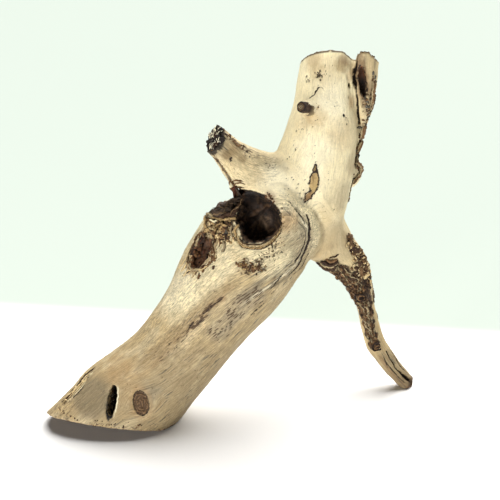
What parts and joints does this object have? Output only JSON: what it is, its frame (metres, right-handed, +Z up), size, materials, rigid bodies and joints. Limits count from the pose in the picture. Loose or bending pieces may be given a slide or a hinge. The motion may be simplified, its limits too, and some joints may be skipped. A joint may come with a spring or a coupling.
{
  "type": "driftwood root sculpture",
  "caption": "Weathered driftwood root: a leaning trunk with an open knot hole, sawn at the foot, forking into a sawn upper limb, a broken stub and a thin crooked leg root that props it up.",
  "frame": {"origin": "centre of the bounding box at the ground, as the sculpture rests", "axes": "+Z up; +X across the sculpture, from the sawn foot of the trunk to the toe of the leg root; +Y from the side that the picture shows to the back"},
  "size_m": [0.3208, 0.121, 0.3038],
  "materials": {
    "trunk_wood": "bare weathered tan wood, dry and matt",
    "limb_wood": "bare bleached cream wood, smooth and matt",
    "stub_wood": "bare wood with a dark broken end, matt",
    "leg_wood": "brown bark over tan wood, rough"
  },
  "bodies": {
    "root": {"trunk": "trunk_wood", "upper_limb": "limb_wood", "broken_stub": "stub_wood", "leg_root": "leg_wood"}
  },
  "joints": []
}
